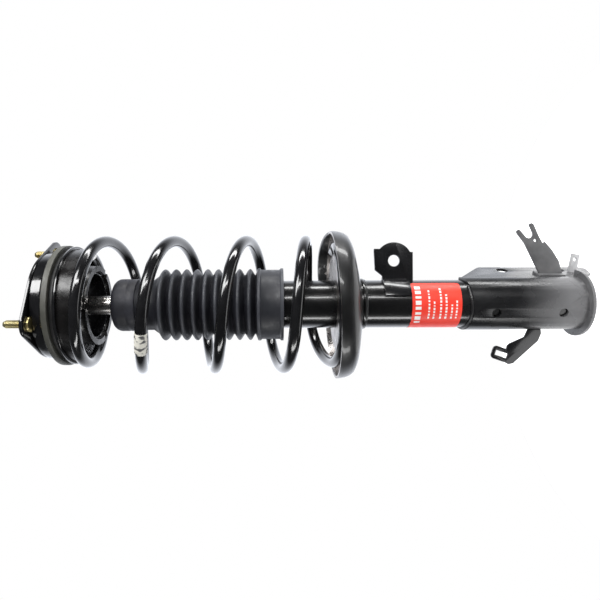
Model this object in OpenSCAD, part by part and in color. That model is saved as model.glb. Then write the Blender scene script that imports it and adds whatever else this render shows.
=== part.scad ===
// Loaded suspension strut: top mount, bearing, coil spring, damper and its brackets.
// +Z runs up the strut axis; z = 0 is the face of the top mount that meets the body shell.
// +Y points at the wheel knuckle and +X runs along the knuckle bolts.

/* [Damper] */
// Outside diameter of the reserve tube
tube_d = 51; // [44:1:58]
// Wall of the reserve tube
tube_wall = 2.5; // [1.5:0.1:3]
// Depth of the reserve tube's rolled top below the mount face
tube_top = 227; // [226:1:240]
// Depth of the reserve tube's bottom below the mount face
tube_bottom = 550; // [520:1:560]
// Diameter of the piston rod
rod_d = 20; // [16:0.5:22]
// Diameter of the rod's threaded shank
shank_d = 14; // [12:1:16]
// Bore of the pressure tube
cylinder_bore = 32; // [28:0.5:34]
// Wall of the pressure tube
cylinder_wall = 1.5; // [1:0.1:2]
// Distance from the mount face to the rod's foot
rod_reach = 308; // [298:1:320]
// Travel from full rebound to the bump stop
stroke = 110; // [90:1:110]

/* [Top mount] */
// Pitch circle diameter of the mount studs
stud_pcd = 114; // [104:1:120]
// Stud thread diameter
stud_d = 8; // [6:1:10]
// Length of stud above the mount face
stud_len = 21; // [15:1:30]
// Angle of the first stud from the knuckle bolt axis
stud_turn = 33; // [0:1:119]
// Radius of each stud lobe
lobe_r = 14; // [12:1:20]
// Radius of the round middle of the mount plate
plate_r = 56; // [54:1:60]
// Sheet thickness of the mount plate
plate_t = 3; // [2:0.5:4]
// Radius of the rubber housing under the plate
housing_r = 58; // [56:1:60]
// Height of the rubber housing
housing_h = 15.4; // [13:0.2:18]
// Radius of the bearing's upper race
race_r = 64; // [60:1:66]

/* [Coil spring] */
// Wire diameter
wire_d = 12; // [10:0.5:13]
// Mean radius of the working coils
coil_r = 68; // [64:1:71]
// Clearance between the wire and its seats
wire_gap = 0.3; // [0.1:0.1:1]
// Pitch of the upper end coil
upper_end_pitch = 4.5; // [4:0.5:9]
// Pitch of the lower end coil
lower_end_pitch = 2; // [0:0.5:12]

/* [Spring seats] */
// Radius of the upper seat's drum
drum_r = 63; // [60:1:65]
// Inside radius of the upper seat's neck
neck_r = 34; // [31:1:38]
// Depth of the upper seat's neck below the mount face
neck_depth = 50; // [44:0.2:52]
// Radius of the lower seat's rim
dish_r = 78.8; // [77:0.2:84]
// Depth of the lower seat's rim below the mount face
rim_depth = 304; // [296:0.2:312]
// Height of the lower seat's wall
dish_wall_h = 17; // [15:0.2:22]
// Sheet thickness of the seats
seat_t = 2.5; // [1.5:0.5:3]
// Tilt of the lower seat
seat_tilt = 2.2; // [0:0.2:5]
// Angle from the knuckle bolt axis towards which the lower seat dips
dip_turn = 201; // [180:1:240]
// Height of the raised part of the lower seat's wall
guard_h = 8; // [4:0.5:12]
// Angle from the knuckle bolt axis to the middle of the raised part
guard_turn = 75; // [60:1:90]
// Waviness of the working coils
coil_wave = 1.8; // [0:0.1:3]
// Thickness of the lower isolator
isolator_t = 4; // [2:0.5:6]

/* [Bump stop and boot] */
// Diameter of the bump stop
bump_d = 56; // [50:1:60]
// Depth of the bump stop's crown below the mount face
bump_top = 71.4; // [68:0.2:78]
// Length of the bump stop
bump_len = 44; // [40:1:44]
// Crest radius of the boot's folds
fold_r = 38.3; // [36:0.1:42]
// Root radius of the boot's folds
root_r = 31.5; // [30:0.5:34]
// Number of folds
folds = 9; // [6:1:11]
// Distance between folds
fold_pitch = 11.35; // [9:0.05:12]
// Rubber thickness of the boot
boot_wall = 2; // [1.5:0.1:3]
// Length of the boot's plain collar
collar_len = 27; // [20:1:32]

/* [Knuckle bracket] */
// Sheet thickness of the bracket
bracket_t = 2.8; // [2:0.2:3.4]
// Distance from the strut axis to the outside of an ear
ear_x = 24; // [22:0.5:26]
// Distance from the strut axis to the ears' free edge
ear_y = 53; // [50:1:60]
// Distance from the strut axis to the knuckle bolts
bolt_y = 41; // [38:1:44]
// Knuckle bolt hole diameter
bolt_hole_d = 12.6; // [10:0.2:16]
// Depth of the upper knuckle bolt below the mount face
bolt_depth = 501.4; // [498:0.2:506]
// Distance between the knuckle bolts
bolt_pitch = 64; // [56:1:68]
// Depth of the bracket's top edge below the mount face
bracket_top = 447.4; // [444:0.2:456]
// Depth of the bracket's end lip below the mount face
bracket_bottom = 567.4; // [564:0.2:572]
// Width of the end lip
lip_w = 7; // [4:1:12]

/* [Small brackets] */
// Angle of the small brackets from the knuckle bolt axis
tab_turn = 21; // [0:1:40]
// Hole for the anti-roll bar link
link_hole_d = 12.2; // [8:0.2:14]
// Sheet thickness of the link bracket
link_t = 3.2; // [2:0.2:5]
// Depth of the link hole below the mount face
link_depth = 368.4; // [362:0.2:380]
// Distance from the strut axis to the link hole
link_reach = 45.6; // [42:0.2:52]
// Sheet thickness of the hose and sensor brackets
clip_t = 2.4; // [1.5:0.1:3]
// Width of the hose bracket's notch
notch_w = 9.4; // [6:0.2:11]
// Length of the sensor bracket's slot
slot_len = 13; // [10:0.5:16]
// Width of the sensor bracket's slot
slot_w = 5.2; // [4.4:0.2:7]

/* [Hidden] */
$fn = 96;

running_gap = 0.05;   // radial clearance of sliding and turning fits
loose_gap = 0.4;      // clearance between bodies that never touch
eps = 0.01;           // overshoot of cuts

tube_r = tube_d / 2;
tube_bore_r = tube_r - tube_wall;
rod_r = rod_d / 2;
bore_r = cylinder_bore / 2;
cylinder_r = bore_r + cylinder_wall;
bump_r = bump_d / 2;
stud_r = stud_d / 2;

// top mount stack, all as depths below the mount face
housing_bottom = plate_t + housing_h;
housing_t = 2;
stud_neck_r = stud_r + 0.2;     // serrated neck pressed through the plate
stud_head_r = stud_d * 0.95;
stud_head_t = 3;
sleeve_stand = 2;     // how far the sleeve stands above the mount face
centre_hole_r = 30;
sleeve_r = 12;
washer_t = 2.5;
nut_h = 9;
nut_af = 22;
race_t = 5;
race_inner_r = 42;
race_skirt = 0.6;
ball_r = 2.4;
ball_ring_r = 52;
ball_count = 36;
upper_race_bottom = housing_bottom + race_t;
lower_race_top = upper_race_bottom + loose_gap;
lower_race_t = 4;
ball_z = upper_race_bottom + loose_gap / 2;
lower_race_r = 59;
seat_top = lower_race_top + lower_race_t;
shoulder_z = housing_bottom + 2 * washer_t;

// spring: turns are counted down the strut from the first full coil's crest
turn_start = -0.95;
turn_end = 4.05;
turn_seated = 3.33;     // from here the wire follows the tilt of the lower seat
wave_turn = 54;
wire_r = wire_d / 2;
upper_pad_t = 1.5;
spring_top = seat_top + seat_t + upper_pad_t + wire_gap + wire_r;
coil_end_r = drum_r - 5;                // mean radius of the upper end coil
coil_foot_r = dish_r - 10.8 - wire_r;   // mean radius of the lower end coil
dish_cone_r = tube_r + 5;
dish_cone_h = 11;
dish_floor = rim_depth + dish_wall_h;
riser_r = coil_foot_r - wire_r;         // inner side of the dish's channel
spring_bottom = dish_floor - isolator_t - wire_gap - wire_r;
wire_rings = 180;
// pitch along the wire as [turn, fixed pitch, share of the full pitch], straight between the rows
pitch_rows = [
    [turn_start, upper_end_pitch, 0], [-0.85, upper_end_pitch, 0], [0.33, 0, 1], [2.02, 0, 1],
    [2.4, 66, 0], [2.75, 62, 0], [3.0, 26, 0], [3.15, 28, 0], [3.3, 64, 0], [3.45, 74, 0],
    [3.6, 45, 0], [3.75, 4, 0], [turn_end, lower_end_pitch, 0]
];
fixed_drop = pitch_sum(turn_end, 1);
full_turns = pitch_sum(turn_end, 2);
full_pitch = (spring_bottom - spring_top - fixed_drop) / full_turns;

// bump stop and boot
bump_bottom = bump_top + bump_len;
grip_top = bump_top + 26;
grip_r = bump_r - 3;
boot_neck_bottom = bump_bottom;
first_fold = boot_neck_bottom + 10;
collar_top = first_fold + folds * fold_pitch - 3;
collar_bottom = collar_top + collar_len;
collar_r = fold_r - 1;

// damper internals
crimp_h = 2;
seal_h = 4;
guide_h = 16;
seal_top = tube_top + crimp_h;
guide_top = seal_top + seal_h;
guide_bottom = guide_top + guide_h;
spigot_h = 5;
bush_t = 1;
cylinder_top = guide_bottom - spigot_h;
cap_t = 5;
valve_h = 12;
cylinder_bottom = tube_bottom - cap_t;
piston_h = 14;
valve_t = 2;
piston_top = rod_reach - piston_h - 14;
piston_r = bore_r - 0.6;
stop_h = 12;
stop_top = guide_bottom + 6;
piston_shank_r = 6;

// bracket
wrap_r = tube_r + bracket_t;
ear_corner_y = sqrt(wrap_r * wrap_r - ear_x * ear_x);
ear_top = bracket_top - 6;
ear_full = bracket_top + 28;
ear_bottom = bracket_bottom + 32;

function smooth(t) = let (c = max(0, min(1, t))) c * c * (3 - 2 * c);

// one column of the pitch rows, summed from the first turn to the given one
function pitch_sum(turn, column, row = 0) =
    row >= len(pitch_rows) - 1 || turn <= pitch_rows[row][0] ? 0 :
    let (
        from = pitch_rows[row],
        to = pitch_rows[row + 1],
        run = min(turn, to[0]) - from[0],
        slope = (to[column] - from[column]) / (to[0] - from[0])
    )
    run * from[column] + slope * run * run / 2 + pitch_sum(turn, column, row + 1);

// depth of the wire's centre at a given turn
function wire_depth(turn) = spring_top + pitch_sum(turn, 1) + full_pitch * pitch_sum(turn, 2)
    + min(0, turn - turn_start) * upper_end_pitch;

function wire_radius(turn) = coil_end_r + (coil_r - coil_end_r) * smooth((turn + 0.75) / 0.75)
    - (coil_r - coil_foot_r) * smooth((turn - 3.1) / 0.42);

function wire_point(turn) =
    let (
        a = tab_turn + 360 * turn,
        r = wire_radius(turn),
        follow = smooth((turn - turn_seated) / 0.3),
        wave = coil_wave * smooth((turn + 0.3) / 0.5) * (1 - follow)
    )
    [
        r * cos(a), r * sin(a),
        -wave * cos(2 * (a - wave_turn)) - r * cos(a - dip_turn) * tan(seat_tilt) * follow
            - wire_depth(turn)
    ];

// a ring of points round the wire, square to its run
function wire_ring(turn, radius, sides) =
    let (
        a = tab_turn + 360 * turn,
        p = wire_point(turn),
        ahead = wire_point(turn + 0.001) - wire_point(turn - 0.001),
        run = ahead / norm(ahead),
        out = [cos(a), sin(a), 0],
        side = cross(run, out),
        up = side / norm(side),
        flat = cross(up, run)
    )
    [for (i = [0 : sides - 1]) p + radius * (cos(360 * i / sides) * flat + sin(360 * i / sides) * up)];

module wire_sweep(from, to, radius, sides, rings) {
    points = [
        for (k = [0 : rings]) each wire_ring(from + (to - from) * k / rings, radius, sides)
    ];
    walls = [
        for (k = [0 : rings - 1], i = [0 : sides - 1])
            let (j = (i + 1) % sides, a = k * sides, b = a + sides)
            each [[a + i, b + j, a + j], [a + i, b + i, b + j]]
    ];
    first = [for (i = [0 : sides - 1]) i];
    last = [for (i = [sides - 1 : -1 : 0]) rings * sides + i];
    polyhedron(points, concat(walls, [first, last]), convexity = 10);
}

// a sleeve round the wire, with the wire's own facets
module wire_sleeve(from, to, outer, inner, sides, rings) {
    ring_pts = 2 * sides;
    points = [
        for (k = [0 : rings])
            let (turn = from + (to - from) * k / rings)
            each concat(wire_ring(turn, outer, sides), wire_ring(turn, inner, sides))
    ];
    walls = [
        for (k = [0 : rings - 1], i = [0 : sides - 1])
            let (j = (i + 1) % sides, a = k * ring_pts, b = a + ring_pts, c = a + sides, d = b + sides)
            each [[a + i, b + j, a + j], [a + i, b + i, b + j], [c + i, c + j, d + j], [c + i, d + j, d + i]]
    ];
    last = rings * ring_pts;
    ends = [
        for (i = [0 : sides - 1])
            let (j = (i + 1) % sides)
            each [
                [i, j, sides + j], [i, sides + j, sides + i],
                [last + j, last + i, last + sides + i], [last + j, last + sides + i, last + sides + j]
            ]
    ];
    polyhedron(points, concat(walls, ends), convexity = 6);
}

// a ring about the strut axis between two depths
module ring(outer, inner, top, bottom) {
    translate([0, 0, -bottom])
    difference() {
        cylinder(r = outer, h = bottom - top);
        translate([0, 0, -eps]) cylinder(r = inner, h = bottom - top + 2 * eps);
    }
}

module at_studs() {
    for (i = [0 : 2]) rotate([0, 0, stud_turn + 120 * i]) translate([stud_pcd / 2, 0, 0]) children();
}

// outline of the mount plate: a disc with three tangent lobes
module plate_outline() {
    reach = stud_pcd / 2;
    touch = acos((plate_r - lobe_r) / reach);
    circle(r = plate_r);
    for (i = [0 : 2]) {
        rotate([0, 0, stud_turn + 120 * i]) {
            translate([reach, 0]) circle(r = lobe_r);
            polygon([
                [reach + lobe_r * cos(touch), lobe_r * sin(touch)],
                [plate_r * cos(touch), plate_r * sin(touch)],
                [plate_r * cos(touch), -plate_r * sin(touch)],
                [reach + lobe_r * cos(touch), -lobe_r * sin(touch)]
            ]);
        }
    }
}

module mount_plate() {
    color([0.05, 0.05, 0.06])
    difference() {
        translate([0, 0, -plate_t]) linear_extrude(plate_t) plate_outline();
        translate([0, 0, -plate_t - eps]) cylinder(r = centre_hole_r, h = plate_t + 2 * eps);
        at_studs() translate([0, 0, -plate_t - eps]) cylinder(r = stud_neck_r, h = plate_t + 2 * eps);
    }
}

module mount_housing() {
    flange = 3;
    color([0.05, 0.05, 0.06])
    difference() {
        rotate_extrude() polygon([
            [housing_r - 5, -plate_t], [housing_r - 1, -plate_t - 2],
            [housing_r, -housing_bottom + 4], [housing_r + flange, -housing_bottom + 1],
            [housing_r + flange, -housing_bottom], [centre_hole_r, -housing_bottom],
            [centre_hole_r, -housing_bottom + housing_t],
            [housing_r - housing_t, -housing_bottom + housing_t],
            [housing_r - housing_t - 1, -plate_t - 3], [housing_r - 7, -plate_t]
        ]);
        head_pockets();
    }
}

// room for the stud heads in the housing and its rubber
module head_pockets() {
    pocket = stud_head_t + 1;
    at_studs() translate([0, 0, -plate_t - pocket]) cylinder(r = stud_head_r + 0.4, h = pocket + 1);
}

module mount_studs() {
    tip = 1.5;
    color([0.80, 0.66, 0.28])
    at_studs() {
        translate([0, 0, -plate_t]) cylinder(r = stud_neck_r, h = plate_t);
        translate([0, 0, -eps]) cylinder(r = stud_r, h = stud_len - tip + eps);
        translate([0, 0, stud_len - tip]) cylinder(r1 = stud_r, r2 = stud_r - tip * 0.7, h = tip);
        translate([0, 0, -plate_t - stud_head_t]) cylinder(r = stud_head_r, h = stud_head_t);
    }
}

module mount_rubber() {
    rubber_r = housing_r - housing_t - 1.5;
    neck = centre_hole_r - 1;
    floor_z = -housing_bottom + housing_t;
    color([0.1, 0.1, 0.1])
    difference() {
        rotate_extrude() polygon([
            [sleeve_r, -0.5], [neck, -0.5], [neck, -plate_t], [housing_r - 8, -plate_t],
            [rubber_r, -plate_t - 3.6], [rubber_r, floor_z], [neck, floor_z],
            [neck, -housing_bottom + 0.5], [sleeve_r, -housing_bottom + 0.5]
        ]);
        head_pockets();
    }
}

module mount_sleeve() {
    color([0.55, 0.55, 0.57])
    ring(sleeve_r, shank_d / 2 + running_gap, -sleeve_stand, housing_bottom + washer_t);
}

module upper_washer() {
    color([0.6, 0.6, 0.6])
    ring(centre_hole_r - 8, shank_d / 2 + running_gap, -sleeve_stand - washer_t, -sleeve_stand);
}

module lower_washer() {
    color([0.6, 0.6, 0.6])
    ring(centre_hole_r - 4, shank_d / 2 + running_gap, housing_bottom + washer_t, shoulder_z);
}

module rod_nut() {
    color([0.72, 0.7, 0.6])
    translate([0, 0, sleeve_stand + washer_t])
    difference() {
        cylinder(d = nut_af / cos(30), h = nut_h, $fn = 6);
        translate([0, 0, -eps]) cylinder(r = shank_d / 2, h = nut_h + 2 * eps);
    }
}

module bearing_upper_race() {
    groove_r = ball_r + running_gap;
    color([0.22, 0.22, 0.2])
    difference() {
        union() {
            ring(race_r, race_inner_r, housing_bottom, upper_race_bottom);
            ring(race_r, race_r - 3, housing_bottom, upper_race_bottom + race_skirt);
        }
        rotate_extrude() translate([ball_ring_r, -ball_z]) circle(r = groove_r, $fn = 32);
    }
}

module bearing_balls() {
    color([0.75, 0.75, 0.77])
    for (i = [0 : ball_count - 1])
        rotate([0, 0, 360 * i / ball_count])
        translate([ball_ring_r, 0, -ball_z])
        sphere(r = ball_r, $fn = 24);
}

module bearing_lower_race() {
    groove_r = ball_r + running_gap;
    color([0.15, 0.15, 0.15])
    difference() {
        ring(lower_race_r, race_inner_r + 2, lower_race_top, seat_top);
        rotate_extrude() translate([ball_ring_r, -ball_z]) circle(r = groove_r, $fn = 32);
    }
}

module piston_rod() {
    shank_top = sleeve_stand + washer_t + nut_h + 3;
    color([0.82, 0.82, 0.84])
    union() {
        translate([0, 0, -piston_top]) cylinder(r = rod_r, h = piston_top - shoulder_z);
        translate([0, 0, -shoulder_z]) cylinder(r = shank_d / 2, h = shank_top + shoulder_z);
        translate([0, 0, -rod_reach]) cylinder(r = piston_shank_r, h = rod_reach - piston_top);
    }
}

module rebound_stop() {
    color([0.12, 0.12, 0.12]) ring(bore_r - 1.2, rod_r, stop_top, stop_top + stop_h);
}

module rebound_valve() {
    color([0.5, 0.5, 0.52]) ring(piston_r - 3, piston_shank_r, piston_top, piston_top + valve_t);
}

module piston() {
    port_r = 1.4;
    color([0.45, 0.43, 0.4])
    difference() {
        ring(piston_r, piston_shank_r, piston_top + valve_t, piston_top + piston_h);
        ring(piston_r + 1, piston_r - 0.8, piston_top + 4, piston_top + 11);
        for (i = [0 : 5])
            rotate([0, 0, 60 * i])
            translate([10.5, 0, -piston_top - piston_h - 1])
            cylinder(r = port_r, h = piston_h + 2, $fn = 24);
    }
}

module piston_band() {
    color([0.75, 0.72, 0.62])
    ring(bore_r - running_gap, piston_r - 0.8, piston_top + 4, piston_top + 11);
}

module compression_valve() {
    color([0.5, 0.5, 0.52])
    ring(piston_r - 4, piston_shank_r, piston_top + piston_h, piston_top + piston_h + valve_t);
}

module piston_nut() {
    nut_t = 9;
    color([0.6, 0.6, 0.6])
    translate([0, 0, -piston_top - piston_h - valve_t - nut_t])
    difference() {
        cylinder(d = 19 / cos(30), h = nut_t, $fn = 6);
        translate([0, 0, -eps]) cylinder(r = piston_shank_r, h = nut_t + 2 * eps);
    }
}

// pressed steel drum with a central neck; the spring's end coil bears on its rim
module upper_spring_seat() {
    top = -seat_top;
    under = top - seat_t;
    color([0.05, 0.05, 0.06])
    difference() {
        rotate_extrude() polygon([
            [neck_r, top], [drum_r - 3, top], [drum_r - 0.9, top - 0.9], [drum_r, top - 3],
            [drum_r, under - 1.5], [drum_r - seat_t, under - 1.5], [drum_r - seat_t, under],
            [neck_r + seat_t, under], [neck_r + seat_t, -neck_depth], [neck_r, -neck_depth]
        ]);
        for (i = [0 : 3])
            rotate([0, 0, tab_turn + 24 + 90 * i])
            translate([neck_r + 9, 0, under - 1])
            cylinder(r = 2.5, h = seat_t + 2, $fn = 32);
    }
}

// rubber wedge whose underside follows the rising end coil
module upper_isolator() {
    collar = neck_r + seat_t + 0.2;
    collar_t = 5.8;
    inner = collar + collar_t / 2;
    outer = drum_r - seat_t - 0.3;
    top = -seat_top - seat_t;
    steps = 60;
    from = turn_start;
    to = turn_start + 0.92;
    function under(turn) =
        max(-neck_depth + 4, wire_point(turn).z + wire_r + wire_gap);
    points = [
        for (k = [0 : steps])
            let (t = from + (to - from) * k / steps, a = tab_turn + 360 * t)
            each [
                [inner * cos(a), inner * sin(a), top], [outer * cos(a), outer * sin(a), top],
                [outer * cos(a), outer * sin(a), under(t)], [inner * cos(a), inner * sin(a), under(t)]
            ]
    ];
    walls = [
        for (k = [0 : steps - 1], i = [0 : 3])
            let (j = (i + 1) % 4, a = 4 * k, b = a + 4)
            each [[a + i, b + j, a + j], [a + i, b + i, b + j]]
    ];
    ends = [[0, 1, 2, 3], [for (i = [3 : -1 : 0]) 4 * steps + i]];
    color([0.08, 0.08, 0.08])
    difference() {
        union() {
            polyhedron(points, concat(walls, ends));
            ring(collar + collar_t, collar, seat_top + seat_t, neck_depth + 3.6);
        }
        for (i = [0 : 2])
            rotate([0, 0, tab_turn + 150 + 120 * i])
            translate([collar - 1, -3.5, -neck_depth - 4])
            cube([collar_t + 2, 7, 4.4]);
    }
}

module coil_spring() {
    color([0.04, 0.04, 0.045]) wire_sweep(turn_start, turn_end, wire_r, 16, wire_rings);
}

// paper strip wrapped round the wire, on the wire's own rings
module spring_tag() {
    first = 57;
    last = 59;
    function at_ring(k) = turn_start + (turn_end - turn_start) * k / wire_rings;
    color([0.88, 0.86, 0.8])
    wire_sleeve(at_ring(first), at_ring(last), wire_r + 0.4, wire_r + 0.05, 16, last - first);
}

module bump_stop() {
    crown = 8;
    groove = 2;
    color([0.17, 0.18, 0.21])
    rotate_extrude() polygon([
        [rod_r + loose_gap, -bump_top], [bump_r - crown, -bump_top],
        [bump_r - crown * 0.5, -bump_top - crown * 0.13], [bump_r - crown * 0.13, -bump_top - crown * 0.5],
        [bump_r, -bump_top - crown], [bump_r, -grip_top], [grip_r, -grip_top],
        [grip_r, -bump_bottom + 4], [grip_r - groove, -bump_bottom], [rod_r + loose_gap, -bump_bottom]
    ]);
}

function fold_profile(steps) = [
    for (k = [0 : folds * steps])
        let (d = first_fold - fold_pitch / 2 + k * fold_pitch / steps, s = 0.5 - 0.5 * cos(360 * k / steps))
        [root_r + (fold_r - root_r) * pow(s, 0.7), -d]
];

module dust_boot() {
    lip = 1.6;
    outline = concat(
        [[grip_r + boot_wall, -grip_top], [grip_r + boot_wall, -boot_neck_bottom + 2]],
        fold_profile(8),
        [
            [collar_r + lip, -collar_top], [collar_r + lip, -collar_top - 3], [collar_r, -collar_top - 4],
            [collar_r, -collar_bottom + 4], [collar_r + lip, -collar_bottom + 3],
            [collar_r + lip, -collar_bottom]
        ]
    );
    inside = [for (i = [len(outline) - 1 : -1 : 0]) let (p = outline[i])
        [p.x - boot_wall - (p.x > collar_r ? lip : 0), p.y]];
    color([0.15, 0.16, 0.19]) rotate_extrude() polygon(concat(outline, inside));
}

module outer_tube() {
    color([0.04, 0.04, 0.045])
    union() {
        ring(tube_r, tube_bore_r, tube_top + 3, tube_bottom);
        translate([0, 0, -tube_top - 3])
        rotate_extrude() polygon([
            [tube_bore_r, 0], [tube_r, 0], [tube_r - 0.9, 2.1], [tube_r - 3, 3],
            [tube_bore_r - 4, 3], [tube_bore_r - 4, 3 - crimp_h], [tube_bore_r, 3 - crimp_h]
        ]);
    }
}

module base_cap() {
    color([0.05, 0.05, 0.055])
    union() {
        translate([0, 0, -tube_bottom]) cylinder(r = tube_bore_r, h = cap_t);
        translate([0, 0, -tube_bottom - 3]) cylinder(r1 = tube_bore_r - 4, r2 = tube_r - 1, h = 3);
    }
}

module pressure_tube() {
    color([0.6, 0.6, 0.62]) ring(cylinder_r, bore_r, cylinder_top, cylinder_bottom);
}

module rod_guide() {
    color([0.5, 0.48, 0.45])
    union() {
        ring(tube_bore_r, rod_r + running_gap + bush_t, guide_top, guide_bottom - spigot_h);
        ring(bore_r, rod_r + running_gap + bush_t, guide_bottom - spigot_h, guide_bottom);
    }
}

module guide_bush() {
    color([0.55, 0.4, 0.25])
    ring(rod_r + running_gap + bush_t, rod_r + running_gap, guide_top + 2, guide_bottom - 1);
}

module rod_seal() {
    color([0.1, 0.1, 0.1]) ring(tube_bore_r, rod_r + running_gap, seal_top, guide_top);
}

module base_valve() {
    color([0.5, 0.48, 0.45])
    difference() {
        translate([0, 0, -cylinder_bottom]) cylinder(r = bore_r, h = valve_h);
        for (i = [0 : 3])
            rotate([0, 0, 90 * i])
            translate([9, 0, -cylinder_bottom - 1])
            cylinder(r = 1.5, h = valve_h + 2, $fn = 24);
    }
}

// places a piece that is drawn about the tilted lower seat's own axis
module on_tilted_seat() {
    translate([0, 0, -dish_floor])
    rotate([0, 0, dip_turn])
    rotate([0, seat_tilt, 0])
    union() {
        children();
    }
}

// stretch of wall that rises above the rim and fades into it
module guard() {
    half_span = 52;
    slope = atan(guard_h / (dish_r * (1 - cos(half_span))));
    difference() {
        translate([0, 0, dish_wall_h - eps])
        rotate_extrude() translate([dish_r - seat_t, 0]) square([seat_t, guard_h]);
        rotate([0, 0, guard_turn - dip_turn])
        translate([dish_r, 0, dish_wall_h + guard_h])
        rotate([0, -slope, 0])
        translate([-4 * dish_r, -2 * dish_r, 0])
        cube([5 * dish_r, 4 * dish_r, dish_r]);
        rotate([0, 0, guard_turn - dip_turn])
        translate([-2 * dish_r, -2 * dish_r, 0])
        cube([2 * dish_r + dish_r * cos(half_span) - 0.5, 4 * dish_r, dish_r]);
    }
}

// deep drawn dish: a rolled rim, a straight wall, then a cone down to the tube
module lower_spring_seat() {
    cone_r = dish_cone_r;
    cone_h = dish_cone_h;
    hub_h = dish_wall_h - 2.4;
    curve = 4;
    color([0.04, 0.04, 0.045])
    difference() {
        on_tilted_seat() {
            rotate_extrude() polygon([
                [dish_r - seat_t, dish_wall_h], [dish_r, dish_wall_h], [dish_r, dish_wall_h - 3],
                [dish_r - 0.6, dish_wall_h - 8], [dish_r - 2.2, curve], [dish_r - 4.6, 0.5],
                [dish_r - 10, -seat_t], [cone_r + seat_t, -cone_h], [cone_r - 8, -cone_h],
                [cone_r - 8, -cone_h + seat_t], [cone_r, -cone_h + seat_t], [riser_r - 3.4, -3.3],
                [riser_r - 3, 1], [riser_r - 4.2, hub_h - 4], [riser_r - 6, hub_h - seat_t],
                [cone_r - 8, hub_h - seat_t], [cone_r - 8, hub_h], [riser_r - 4.4, hub_h],
                [riser_r - 2.2, hub_h - 1.2], [riser_r - 1.3, hub_h - 3.6], [riser_r, 1.5],
                [riser_r + 1.5, 0], [dish_r - 12, 0],
                [dish_r - 8, 1.5], [dish_r - 5.4, curve + 1], [dish_r - 3.3, dish_wall_h - 6]
            ]);
            guard();
        }
        translate([0, 0, -dish_floor - 30]) cylinder(r = tube_r, h = 60);
    }
}

// welded collar that carries the dish on the tube
module seat_collar() {
    color([0.04, 0.04, 0.045])
    ring(tube_r + 1.8, tube_r, dish_floor + dish_cone_h + 2.2, dish_floor + dish_cone_h + 5.4);
}

// rubber pad in the dish, under the lower end coil
module lower_isolator() {
    inner = riser_r + 2;
    floor_r = dish_r - 12;
    color([0.09, 0.09, 0.09])
    on_tilted_seat()
    translate([0, 0, 0.02])
    rotate_extrude() polygon([
        [inner, 0], [floor_r, 0], [floor_r + 2, 1], [floor_r + 2, isolator_t], [inner, isolator_t]
    ]);
}

// section of the bracket: a wrap round the tube that runs out into two flat ears
module bracket_section() {
    difference() {
        union() {
            circle(r = wrap_r);
            translate([-ear_x, 0]) square([2 * ear_x, ear_y]);
        }
        circle(r = tube_r);
        translate([-ear_x + bracket_t, 0]) square([2 * (ear_x - bracket_t), ear_y + 1]);
    }
}

// side outline of the bracket, seen along the bolts
module bracket_side() {
    translate([-wrap_r - lip_w - 5, 0, 0])
    rotate([90, 0, 90])
    linear_extrude(2 * (wrap_r + lip_w + 5))
    polygon([
        [-wrap_r - 1, -bracket_top], [ear_corner_y - 4, -ear_top], [ear_y - 3, -ear_full],
        [ear_y, -ear_full - 4], [ear_y, -ear_bottom + 6], [ear_y - 6, -ear_bottom],
        [ear_corner_y + 14, -ear_bottom + 4], [ear_corner_y - 2, -bracket_bottom - 6],
        [-wrap_r - 1, -bracket_bottom]
    ]);
}

module knuckle_bracket() {
    lip_end_y = 10;
    color([0.04, 0.04, 0.045])
    difference() {
        union() {
            intersection() {
                translate([0, 0, -ear_bottom - 1]) linear_extrude(ear_bottom - bracket_top + 10) bracket_section();
                bracket_side();
            }
            translate([0, 0, -bracket_bottom])
            linear_extrude(bracket_t)
            difference() {
                circle(r = wrap_r + lip_w);
                circle(r = wrap_r - 0.1);
                translate([-100, lip_end_y]) square([200, 100]);
            }
        }
        for (z = [bolt_depth, bolt_depth + bolt_pitch])
            translate([-ear_x - 5, bolt_y, -z])
            rotate([0, 90, 0])
            cylinder(d = bolt_hole_d, h = 2 * ear_x + 10);
        for (z = [bracket_top + 23, bracket_bottom - 28])
            translate([0, -tube_r + 2, -z])
            rotate([90, 0, 0])
            cylinder(d = 9.6, h = 12, $fn = 48);
    }
}

// fillet weld at the bracket's top edge
module bracket_welds() {
    bead = 2.4;
    color([0.06, 0.06, 0.065])
    intersection() {
        difference() {
            translate([0, 0, bead]) bracket_side();
            bracket_side();
        }
        translate([0, 0, -bracket_top - bead])
        rotate_extrude(start = 215, angle = 110) translate([tube_r, 0]) square([bead, 4 * bead]);
    }
}

// plate for the anti-roll bar link, with a folded edge and a saddle on the tube
module link_bracket() {
    plate_y = 12;
    half_w = 20;
    arc_r = 19.4;
    saddle_r = tube_r + link_t;
    rotate([0, 0, tab_turn])
    translate([0, 0, -link_depth])
    color([0.04, 0.04, 0.045])
    difference() {
        union() {
            translate([0, -plate_y + link_t, 0])
            rotate([90, 0, 0])
            linear_extrude(link_t)
            difference() {
                union() {
                    translate([link_reach, 0]) circle(r = arc_r);
                    polygon([
                        [tube_r - 6, 12], [tube_r + 4, 12.5], [link_reach - 10, half_w], [link_reach + 9, half_w + 1],
                        [link_reach + 12.6, half_w + 1], [link_reach + 12.6, half_w - 4],
                        [link_reach + 11, 6], [link_reach + 9, -half_w], [tube_r - 6, -half_w]
                    ]);
                }
                translate([link_reach, 0]) circle(d = link_hole_d);
            }
            translate([tube_r - 3, -plate_y, -half_w])
            cube([link_reach + 9 - tube_r + 3, 8, link_t]);
            translate([0, 0, -half_w + 5])
            rotate_extrude(start = -72, angle = 62) translate([tube_r, 0]) square([link_t, half_w + 7]);
        }
        translate([0, 0, -100]) cylinder(r = tube_r, h = 200);
    }
}

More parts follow.
